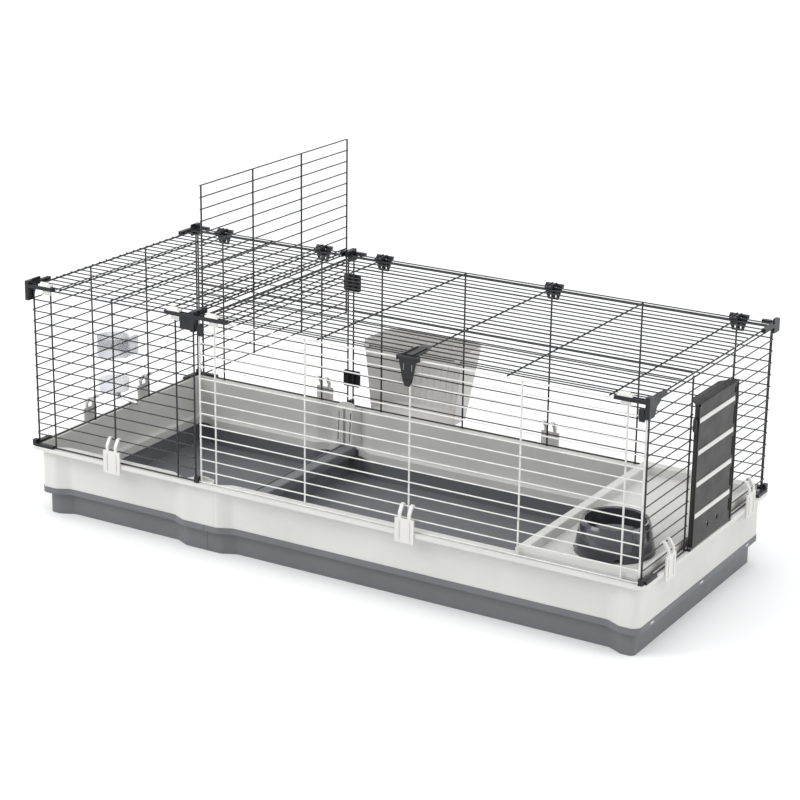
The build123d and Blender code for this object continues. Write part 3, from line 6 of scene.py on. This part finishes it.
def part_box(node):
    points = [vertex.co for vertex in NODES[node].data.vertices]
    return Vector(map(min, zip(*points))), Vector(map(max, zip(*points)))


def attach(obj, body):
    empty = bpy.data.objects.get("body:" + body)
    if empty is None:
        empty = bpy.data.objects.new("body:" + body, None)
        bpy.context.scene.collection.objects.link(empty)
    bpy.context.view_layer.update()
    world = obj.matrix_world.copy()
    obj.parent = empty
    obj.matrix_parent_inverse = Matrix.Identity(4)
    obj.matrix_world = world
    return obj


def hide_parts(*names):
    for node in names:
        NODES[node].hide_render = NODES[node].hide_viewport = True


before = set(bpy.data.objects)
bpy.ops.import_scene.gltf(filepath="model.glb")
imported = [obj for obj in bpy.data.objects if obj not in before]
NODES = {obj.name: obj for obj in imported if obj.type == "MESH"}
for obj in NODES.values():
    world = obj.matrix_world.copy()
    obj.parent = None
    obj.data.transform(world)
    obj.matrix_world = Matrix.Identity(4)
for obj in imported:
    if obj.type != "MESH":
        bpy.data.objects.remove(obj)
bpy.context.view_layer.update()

# Camera, placed as solved from the edges of the box in the photograph
AZIMUTH = math.radians(30.743)
ELEVATION = math.radians(18.307)
ROLL = math.radians(0.747)
CAMERA_PLACE = Vector((2.2339, -3.7286, 1.7349))
CAMERA_LENS = 100.94
SENSOR_WIDTH = 36
CAMERA_REACH = 50

forward = Vector((-math.sin(AZIMUTH) * math.cos(ELEVATION), math.cos(AZIMUTH) * math.cos(ELEVATION),
                  -math.sin(ELEVATION)))
level = forward.cross(Vector((0, 0, 1))).normalized()
up = level.cross(forward).normalized()
image_right = level * math.cos(ROLL) + up * math.sin(ROLL)
image_up = up * math.cos(ROLL) - level * math.sin(ROLL)
camera_data = bpy.data.cameras.new("camera")
camera_data.sensor_fit = "HORIZONTAL"
camera_data.sensor_width = SENSOR_WIDTH
camera_data.lens = CAMERA_LENS
camera_data.clip_end = CAMERA_REACH
camera = bpy.data.objects.new("camera", camera_data)
turn = Matrix((image_right, image_up, -forward)).transposed()
camera.matrix_world = Matrix.Translation(CAMERA_PLACE) @ turn.to_4x4()
bpy.context.scene.collection.objects.link(camera)
bpy.context.scene.camera = camera


# Materials

def new_material(name):
    """Empty node material with one shader: the material, its tree, shader and coordinates."""
    material = bpy.data.materials.new(name)
    material.use_nodes = True
    tree = material.node_tree
    tree.nodes.clear()
    output = tree.nodes.new("ShaderNodeOutputMaterial")
    shader = tree.nodes.new("ShaderNodeBsdfPrincipled")
    tree.links.new(shader.outputs["BSDF"], output.inputs["Surface"])
    coordinates = tree.nodes.new("ShaderNodeTexCoord")
    return material, tree, shader, coordinates


def noise(tree, coordinates, scale, detail, distortion=0, stretch=None):
    """Noise in the object's own coordinates, stretched along its axes where asked."""
    node = tree.nodes.new("ShaderNodeTexNoise")
    node.inputs["Scale"].default_value = scale
    node.inputs["Detail"].default_value = detail
    node.inputs["Distortion"].default_value = distortion
    source = coordinates.outputs["Object"]
    if stretch:
        mapping = tree.nodes.new("ShaderNodeMapping")
        mapping.inputs["Scale"].default_value = stretch
        tree.links.new(source, mapping.inputs["Vector"])
        source = mapping.outputs["Vector"]
    tree.links.new(source, node.inputs["Vector"])
    return node


def spread(tree, source, low, high, start=0.3, stop=0.7):
    """Maps a noise onto a range of values."""
    ramp = tree.nodes.new("ShaderNodeMapRange")
    ramp.inputs["From Min"].default_value = start
    ramp.inputs["From Max"].default_value = stop
    ramp.inputs["To Min"].default_value = low
    ramp.inputs["To Max"].default_value = high
    tree.links.new(source.outputs["Fac"], ramp.inputs["Value"])
    return ramp.outputs["Result"]


def tone(colour, amount):
    """Lighter or darker form of a colour."""
    return tuple(max(0, min(1, channel * amount)) for channel in colour)


def paint(tree, shader, source, first, second):
    """Base colour that drifts between two colours."""
    mix = tree.nodes.new("ShaderNodeMix")
    mix.data_type = "RGBA"
    mix.inputs["A"].default_value = (*first, 1)
    mix.inputs["B"].default_value = (*second, 1)
    tree.links.new(spread(tree, source, 0, 1), mix.inputs["Factor"])
    tree.links.new(mix.outputs["Result"], shader.inputs["Base Color"])


def roughen(tree, shader, source, low, high):
    """Roughness that drifts between two values."""
    tree.links.new(spread(tree, source, low, high), shader.inputs["Roughness"])


def relief(tree, shader, source, strength, distance, over=None):
    """Bump from a noise, laid over another bump where one is given."""
    bump = tree.nodes.new("ShaderNodeBump")
    bump.inputs["Strength"].default_value = strength
    bump.inputs["Distance"].default_value = distance
    tree.links.new(source.outputs["Fac"], bump.inputs["Height"])
    if over:
        tree.links.new(over.outputs["Normal"], bump.inputs["Normal"])
    tree.links.new(bump.outputs["Normal"], shader.inputs["Normal"])
    return bump


def gloss(shader, coat, coat_rough, shine):
    """Clear coat and strength of the highlights."""
    shader.inputs["Coat Weight"].default_value = coat
    shader.inputs["Coat Roughness"].default_value = coat_rough
    shader.inputs["Specular IOR Level"].default_value = shine


def moulded(name, colour, rough, grain=900, grain_depth=0.05, wave_depth=0.03, variation=0.05, coat=0,
            shine=0.5):
    """Moulded plastic: fine spark-eroded grain, slow sink marks, slight tone drift."""
    material, tree, shader, coordinates = new_material(name)
    drift = noise(tree, coordinates, scale=7, detail=4)
    paint(tree, shader, drift, tone(colour, 1 - variation), tone(colour, 1 + variation))
    smudge = noise(tree, coordinates, scale=26, detail=6, distortion=0.6)
    roughen(tree, shader, smudge, low=rough - 0.06, high=rough + 0.08)
    fine = noise(tree, coordinates, scale=grain, detail=2)
    grain_bump = relief(tree, shader, fine, strength=grain_depth, distance=0.0004)
    slow = noise(tree, coordinates, scale=14, detail=1)
    relief(tree, shader, slow, strength=wave_depth, distance=0.004, over=grain_bump)
    gloss(shader, coat, coat_rough=0.08, shine=shine)
    return material


def coated_wire(name, colour, rough, coat, shine):
    """Dip-coated steel wire: thick glossy skin with runs and small pits."""
    material, tree, shader, coordinates = new_material(name)
    drift = noise(tree, coordinates, scale=60, detail=3)
    paint(tree, shader, drift, tone(colour, 0.88), tone(colour, 1.1))
    patches = noise(tree, coordinates, scale=140, detail=4)
    roughen(tree, shader, patches, low=rough - 0.08, high=rough + 0.12)
    runs = noise(tree, coordinates, scale=420, detail=2)
    relief(tree, shader, runs, strength=0.12, distance=0.0004)
    gloss(shader, coat, coat_rough=0.15, shine=shine)
    return material


def clear_plastic(name, colour, face_alpha, edge_alpha, rough=0.08):
    """Clear moulded plastic with flow lines: thin to look through, denser at its edges."""
    material, tree, shader, coordinates = new_material(name)
    drift = noise(tree, coordinates, scale=30, detail=2)
    paint(tree, shader, drift, tone(colour, 0.96), tone(colour, 1.02))
    flow = noise(tree, coordinates, scale=60, detail=2, distortion=0.3, stretch=(1, 1, 0.15))
    relief(tree, shader, flow, strength=0.06, distance=0.0006)
    roughen(tree, shader, flow, low=rough, high=rough + 0.08)
    edge = tree.nodes.new("ShaderNodeLayerWeight")
    edge.inputs["Blend"].default_value = 0.35
    density = tree.nodes.new("ShaderNodeMapRange")
    density.inputs["To Min"].default_value = face_alpha
    density.inputs["To Max"].default_value = edge_alpha
    tree.links.new(edge.outputs["Facing"], density.inputs["Value"])
    tree.links.new(density.outputs["Result"], shader.inputs["Alpha"])
    return material


def drawn_steel(name, dark, bright):
    """Bright drawn steel with fine lines along the rod."""
    material, tree, shader, coordinates = new_material(name)
    lines = noise(tree, coordinates, scale=500, detail=2, stretch=(0.06, 1, 1))
    paint(tree, shader, lines, dark, bright)
    roughen(tree, shader, lines, low=0.2, high=0.34)
    relief(tree, shader, lines, strength=0.08, distance=0.0003)
    shader.inputs["Metallic"].default_value = 1
    return material


MATERIALS = {
    "light": moulded("light_plastic", (0.60, 0.595, 0.57), rough=0.42),
    "clip": moulded("clip_plastic", (0.64, 0.63, 0.60), rough=0.36, grain=700, grain_depth=0.04),
    "rack": moulded("rack_plastic", (0.60, 0.585, 0.56), rough=0.40),
    "tray": moulded("tray_plastic", (0.138, 0.140, 0.153), rough=0.42, grain=1100, grain_depth=0.08,
                    wave_depth=0.02, variation=0.06, shine=0.4),
    "black": moulded("black_plastic", (0.014, 0.0145, 0.017), rough=0.36, grain=1000, grain_depth=0.08,
                     wave_depth=0.02, variation=0.12, shine=0.28),
    "ladder": moulded("ladder_plastic", (0.024, 0.023, 0.022), rough=0.44, grain=1300, grain_depth=0.12,
                      variation=0.1, shine=0.32),
    "strip": moulded("strip_plastic", (0.60, 0.60, 0.58), rough=0.38, grain_depth=0.06),
    "white": moulded("white_plastic", (0.70, 0.70, 0.66), rough=0.28, grain=700, grain_depth=0.03),
    "bowl": moulded("bowl_plastic", (0.040, 0.041, 0.050), rough=0.16, grain=600, grain_depth=0.02,
                    wave_depth=0.05, variation=0.1, coat=0.6),
    "black_wire": coated_wire("black_wire", (0.020, 0.020, 0.022), rough=0.36, coat=0.12, shine=0.3),
    "white_wire": coated_wire("white_wire", (0.66, 0.655, 0.63), rough=0.36, coat=0.2, shine=0.45),
    "bottle": clear_plastic("bottle_plastic", (0.82, 0.82, 0.84), face_alpha=0.03, edge_alpha=0.16),
    "holder": clear_plastic("holder_plastic", (0.40, 0.41, 0.47), face_alpha=0.26, edge_alpha=0.80,
                            rough=0.12),
    "cap": clear_plastic("cap_plastic", (0.50, 0.51, 0.57), face_alpha=0.22, edge_alpha=0.80, rough=0.14),
    "steel": drawn_steel("drawn_steel", dark=(0.52, 0.52, 0.53), bright=(0.72, 0.72, 0.72)),
}


def by_name(name, own, families, otherwise):
    """A node's own value, or that of the family its name starts with."""
    if name in own:
        return own[name]
    for family, value in families.items():
        if name.startswith(family):
            return value
    return otherwise


# Finish of each node, with black plastic for the fittings that are not listed
FINISH_NODES = {
    "tray": ["base_tray_left", "base_tray_right", "tray_joint_bar"],
    "light": ["collar_left", "collar_right", "collar_snap_tabs", "guide_sleeve_front", "guide_sleeve_rear",
              "shelf"],
    "rack": ["hay_rack", "hay_rack_hooks"],
    "black_wire": ["front_left_panel", "rear_panel_left", "rear_panel_right", "left_end_panel",
                   "right_end_panel", "roof_left", "roof_right", "divider_panel"],
    "white_wire": ["front_door"],
    "ladder": ["ladder"],
    "strip": ["ladder_strips"],
    "bowl": ["bowl"],
    "bottle": ["bottle"],
    "holder": ["bottle_holder"],
    "white": ["lock_catches_panel", "lock_catches_door"],
    "cap": ["bottle_cap"],
    "steel": ["hinge_pins", "ladder_pin", "bottle_spout"],
}
OWN_FINISH = {node: finish for finish, nodes in FINISH_NODES.items() for node in nodes}
FAMILY_FINISH = {"tray_clip": "clip", "roof_lock": "white"}
for name, node in NODES.items():
    finish = by_name(name, OWN_FINISH, FAMILY_FINISH, "black")
    for place in node.material_slots:
        place.material = MATERIALS[finish]

# Rounded edges on the moulded pieces: widths in metres
OWN_EDGE = {
    "collar_left": 0.0009, "collar_right": 0.0009, "base_tray_left": 0.0009, "base_tray_right": 0.0009,
    "tray_joint_bar": 0.0008, "guide_sleeve_front": 0.0008, "guide_sleeve_rear": 0.0008,
    "rear_joining_plates": 0.0005, "latch_arm": 0.0004, "latch_tongue": 0.0004, "ladder": 0.0004,
    "shelf": 0.0008, "hay_rack": 0.0005, "bottom_corner_clamps": 0.0006,
}
FAMILY_EDGE = {"top_connector": 0.0007, "roof_lock": 0.0004, "tray_clip": 0.0004, "hinge_roof": 0.0004,
               "hinge_panel": 0.0004}
EDGE_SEGMENTS = 2
EDGE_ANGLE = math.radians(40)
for name, node in NODES.items():
    width = by_name(name, OWN_EDGE, FAMILY_EDGE, 0)
    if width:
        edge = node.modifiers.new("soft_edge", "BEVEL")
        edge.width = width
        edge.segments = EDGE_SEGMENTS
        edge.limit_method = "ANGLE"
        edge.angle_limit = EDGE_ANGLE
        edge.use_clamp_overlap = True
        edge.harden_normals = False


# Closed meshes, each as vertices and faces

def prism(bottom_corners, top_corners):
    """Six-sided piece between two quads."""
    vertices = [*bottom_corners, *top_corners]
    faces = [(3, 2, 1, 0), (4, 5, 6, 7)]
    faces += [(k, (k + 1) % 4, 4 + (k + 1) % 4, 4 + k) for k in range(4)]
    return vertices, faces


def cuboid(low, high):
    """Box between two corners."""
    ring = [(low[0], low[1]), (high[0], low[1]), (high[0], high[1]), (low[0], high[1])]
    return prism([(x, y, low[2]) for x, y in ring], [(x, y, high[2]) for x, y in ring])


def plate(profile, near, far):
    """Plate across y: its profile is x and height, anticlockwise as seen from the front."""
    count = len(profile)
    vertices = [(x, y, z) for y in (near, far) for x, z in profile]
    faces = [tuple(range(count)), tuple(range(2 * count - 1, count - 1, -1))]
    faces += [(k, count + k, count + (k + 1) % count, (k + 1) % count) for k in range(count)]
    return vertices, faces


def lathe(centre, outline, sides):
    """Turned piece: its outline is radius and height, from axis to axis."""
    vertices = [(centre.x, centre.y, outline[0][1])]
    for radius, height in outline[1:-1]:
        for side in range(sides):
            spin = 2 * math.pi * side / sides
            vertices.append((centre.x + radius * math.cos(spin), centre.y + radius * math.sin(spin), height))
    vertices.append((centre.x, centre.y, outline[-1][1]))
    last = len(vertices) - 1
    rings = len(outline) - 2
    faces = []
    for side in range(sides):
        after = (side + 1) % sides
        faces.append((0, 1 + after, 1 + side))
        for ring in range(rings - 1):
            first = 1 + ring * sides
            faces.append((first + side, first + after, first + sides + after, first + sides + side))
        faces.append((last, last - sides + side, last - sides + after))
    return vertices, faces


def add_mesh(name, parts, finish, body):
    """One object from several closed pieces, painted and riding on a body."""
    vertices = []
    faces = []
    for part_vertices, part_faces in parts:
        start = len(vertices)
        vertices.extend(part_vertices)
        faces.extend(tuple(start + k for k in face) for face in part_faces)
    mesh = bpy.data.meshes.new(name)
    mesh.from_pydata(vertices, [], faces)
    mesh.materials.append(MATERIALS[finish])
    piece = bpy.data.objects.new(name, mesh)
    bpy.context.scene.collection.objects.link(piece)
    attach(piece, body)
    return piece


# Upright ribs on the inside of the hay rack's back, which leans out towards the top
RIB_COUNT = 9
RIB_HALF = 0.0012
RIB_PROUD = 0.0012
RIB_FOOT_GAP = 0.006
RIB_TOP_GAP = 0.002
RACK_CORNER = 0.040
RACK_FOOT_SHARE = 0.72
RACK_TAPER = 0.018
RACK_WALL = 0.0024
rack_low, rack_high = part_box("hay_rack")


def rack_back(z):
    """Inner face of the rack's back at a height."""
    share = (z - rack_low.z) / (rack_high.z - rack_low.z)
    depth = rack_high.y - rack_low.y
    return rack_low.y + depth * (RACK_FOOT_SHARE + (1 - RACK_FOOT_SHARE) * share) - RACK_WALL


def rack_rib(x):
    """One rib, which bites halfway into the wall behind it."""
    rings = []
    for z in (rack_low.z + RIB_FOOT_GAP, rack_high.z - RIB_TOP_GAP):
        front = rack_back(z) - RIB_PROUD
        back = rack_back(z) + RACK_WALL / 2
        rings.append([(x - RIB_HALF, front, z), (x + RIB_HALF, front, z), (x + RIB_HALF, back, z),
                      (x - RIB_HALF, back, z)])
    return prism(*rings)


rib_first = rack_low.x + RACK_TAPER + RACK_CORNER
rib_last = rack_high.x - RACK_TAPER - RACK_CORNER
ribs = [rack_rib(rib_first + (rib_last - rib_first) * k / (RIB_COUNT - 1)) for k in range(RIB_COUNT)]
add_mesh("hay_rack_ribs", ribs, "rack", "cage")

# Bottle: the clear shell stands higher than the solid that it replaces
BOTTLE_SIDES = 64
BOTTLE_RISE = 0.073
BOTTLE_SKIN = 0.0016
BOTTLE_NECK = 0.004
GROOVE_SHARES = (0.40, 0.62)
GROOVE_DEPTH = 0.0009
GROOVE_HALF = 0.003
ROUND_RADIUS = 0.012
ROUND_STEP = math.radians(15)
ROUND_POINTS = 6
bottle_low, bottle_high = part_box("bottle")


def bottle_outline():
    """Both faces of the shell: down the inside, round the open neck and up the outside."""
    radius = (bottle_high.x - bottle_low.x) / 2
    foot = bottle_low.z
    end = bottle_high.z + BOTTLE_RISE
    neck = radius - BOTTLE_NECK
    outside = [(radius, foot + BOTTLE_NECK)]
    for share in GROOVE_SHARES:
        middle = foot + share * (end - foot)
        outside += [(radius, middle - GROOVE_HALF), (radius - GROOVE_DEPTH, middle),
                    (radius, middle + GROOVE_HALF)]
    for point in range(ROUND_POINTS):
        bend = ROUND_STEP * point
        outside.append((radius - ROUND_RADIUS * (1 - math.cos(bend)),
                        end - ROUND_RADIUS * (1 - math.sin(bend))))
    inside = [(reach - BOTTLE_SKIN, height - BOTTLE_SKIN) for reach, height in reversed(outside)]
    lip = [(neck - BOTTLE_SKIN, foot + BOTTLE_SKIN / 2), (neck, foot)]
    return [(0, end - BOTTLE_SKIN), *inside, *lip, *outside, (0, end)]


bottle_turned = lathe((bottle_low + bottle_high) / 2, bottle_outline(), BOTTLE_SIDES)
bottle_shell = add_mesh("bottle_shell", [bottle_turned], "bottle", "cage")
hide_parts("bottle")

# Raised frame at the sides and top of the ladder's plate, and a lip under each grip strip
FRAME_HALF = 0.092
FRAME_WIDTH = 0.0035
FRAME_PROUD = 0.0018
FRAME_BITE = 0.0008
FRAME_FOOT_GAP = 0.004
STRIP_PITCH = 0.063
STRIP_COUNT = 4
LIP_HEIGHT = 0.003
ladder_low, ladder_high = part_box("ladder")
strips_low, strips_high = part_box("ladder_strips")
frame_back = ladder_high.x - FRAME_BITE
frame_front = ladder_high.x + FRAME_PROUD
lip_front = ladder_high.x + FRAME_PROUD / 2
frame_parts = [
    cuboid((frame_back, y, ladder_low.z + FRAME_FOOT_GAP), (frame_front, y + FRAME_WIDTH, ladder_high.z))
    for y in (-FRAME_HALF, FRAME_HALF - FRAME_WIDTH)]
frame_parts.append(cuboid((frame_back, -FRAME_HALF, ladder_high.z - FRAME_WIDTH),
                          (frame_front, FRAME_HALF, ladder_high.z)))
for k in range(STRIP_COUNT):
    z = strips_low.z + k * STRIP_PITCH
    frame_parts.append(cuboid((frame_back, strips_low.y, z - LIP_HEIGHT), (lip_front, strips_high.y, z)))
add_mesh("ladder_frame", frame_parts, "ladder", "ladder")

# Rounded tabs of the guide sleeves, which stand above the rim outside the divider's edge wires
TAB_HALF = 0.021
TAB_NEAR = 0.2715
TAB_FAR = 0.2745
TAB_BITE = 0.012
TAB_STEPS = 6
FRONT_TAB_HEIGHT = 0.007
REAR_TAB_HEIGHT = 0.013
sleeve_low, sleeve_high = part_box("guide_sleeve_front")
seam_x = (sleeve_low.x + sleeve_high.x) / 2
rim_top = sleeve_high.z


def tab_profile(height):
    """Foot buried in the sleeve, and a half oval on top of straight sides."""
    profile = [(seam_x - TAB_HALF, rim_top - TAB_BITE), (seam_x + TAB_HALF, rim_top - TAB_BITE)]
    for step in range(TAB_STEPS + 1):
        spin = math.pi * step / TAB_STEPS
        profile.append((seam_x + TAB_HALF * math.cos(spin), rim_top + height / 2 * (1 + math.sin(spin))))
    return profile


tabs = [plate(tab_profile(FRONT_TAB_HEIGHT), -TAB_FAR, -TAB_NEAR),
        plate(tab_profile(REAR_TAB_HEIGHT), TAB_NEAR, TAB_FAR)]
add_mesh("sleeve_tabs", tabs, "light", "cage")

# Ball in the tip of the bottle's spout
BALL_RADIUS = 0.0036
BALL_RINGS = 10
BALL_SIDES = 16
BALL_INSET = 0.6
BALL_LIFT = 1.2
spout_low, spout_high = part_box("bottle_spout")
ball_centre = Vector((spout_high.x - BALL_RADIUS * BALL_INSET, (spout_low.y + spout_high.y) / 2,
                      spout_low.z + BALL_RADIUS * BALL_LIFT))
ball_outline = []
for ring in range(BALL_RINGS + 1):
    tilt = math.pi * ring / BALL_RINGS
    ball_outline.append((BALL_RADIUS * math.sin(tilt), ball_centre.z - BALL_RADIUS * math.cos(tilt)))
ball = add_mesh("spout_ball", [lathe(ball_centre, ball_outline, BALL_SIDES)], "steel", "cage")
for face in ball.data.polygons:
    face.use_smooth = True

# Floor
FLOOR_HALF = 30
FLOOR_DROP = 0.0004
floor_corners = [(-FLOOR_HALF, -FLOOR_HALF, 0), (FLOOR_HALF, -FLOOR_HALF, 0), (FLOOR_HALF, FLOOR_HALF, 0),
                 (-FLOOR_HALF, FLOOR_HALF, 0)]
floor_mesh = bpy.data.meshes.new("floor")
floor_mesh.from_pydata(floor_corners, [], [(0, 1, 2, 3)])
floor = bpy.data.objects.new("floor", floor_mesh)
floor.location.z = -FLOOR_DROP
bpy.context.scene.collection.objects.link(floor)
paper, paper_tree, paper_shader, paper_coordinates = new_material("floor_paper")
fibre = noise(paper_tree, paper_coordinates, scale=3, detail=2)
paint(paper_tree, paper_shader, fibre, (0.90, 0.90, 0.90), (0.92, 0.92, 0.92))
paper_shader.inputs["Roughness"].default_value = 0.9
paper_shader.inputs["Specular IOR Level"].default_value = 0.1
floor_mesh.materials.append(paper)

# Background: plain white where it is seen, and a dimmer glow where it lights the object
SEEN_COLOUR = (1, 1, 1, 1)
SEEN_STRENGTH = 1.0
GLOW_COLOUR = (0.97, 0.985, 1, 1)
GLOW_STRENGTH = 0.75
world = bpy.data.worlds.new("studio")
bpy.context.scene.world = world
world.use_nodes = True
world_tree = world.node_tree
world_tree.nodes.clear()


def background(colour, strength):
    """Plain background shader."""
    node = world_tree.nodes.new("ShaderNodeBackground")
    node.inputs["Color"].default_value = colour
    node.inputs["Strength"].default_value = strength
    return node.outputs["Background"]


path = world_tree.nodes.new("ShaderNodeLightPath")
sight = path.outputs["Is Camera Ray"]
for ray in ("Is Glossy Ray", "Is Transmission Ray"):
    either = world_tree.nodes.new("ShaderNodeMath")
    either.operation = "MAXIMUM"
    world_tree.links.new(sight, either.inputs[0])
    world_tree.links.new(path.outputs[ray], either.inputs[1])
    sight = either.outputs[0]
choice = world_tree.nodes.new("ShaderNodeMixShader")
world_tree.links.new(sight, choice.inputs["Fac"])
world_tree.links.new(background(GLOW_COLOUR, GLOW_STRENGTH), choice.inputs[1])
world_tree.links.new(background(SEEN_COLOUR, SEEN_STRENGTH), choice.inputs[2])
world_output = world_tree.nodes.new("ShaderNodeOutputWorld")
world_tree.links.new(choice.outputs["Shader"], world_output.inputs["Surface"])


# Lamps

def soft_box(name, place, target, width, height, power):
    """Rectangular lamp that faces a point."""
    data = bpy.data.lights.new(name, "AREA")
    data.shape = "RECTANGLE"
    data.size = width
    data.size_y = height
    data.energy = power
    lamp = bpy.data.objects.new(name, data)
    lamp.location = place
    aim = Vector(target) - Vector(place)
    lamp.rotation_euler = aim.to_track_quat("-Z", "Y").to_euler()
    bpy.context.scene.collection.objects.link(lamp)


def wide_sun(name, energy, angle, tilt_x, tilt_y):
    """Sun as wide as an overcast sky, which faces almost straight down."""
    data = bpy.data.lights.new(name, "SUN")
    data.energy = energy
    data.angle = math.radians(angle)
    lamp = bpy.data.objects.new(name, data)
    lamp.rotation_euler = (math.radians(tilt_x), math.radians(tilt_y), 0)
    bpy.context.scene.collection.objects.link(lamp)


soft_box("key_light", place=(-3.0, -3.3, 3.2), target=(-0.1, 0, 0.2), width=2.6, height=2.6, power=105)
soft_box("side_light", place=(4.2, 0.6, 1.9), target=(0, 0, 0.2), width=2.2, height=1.6, power=34)
wide_sun("overhead", energy=1.3, angle=75, tilt_x=6, tilt_y=4)

bpy.context.scene.view_settings.view_transform = "Standard"
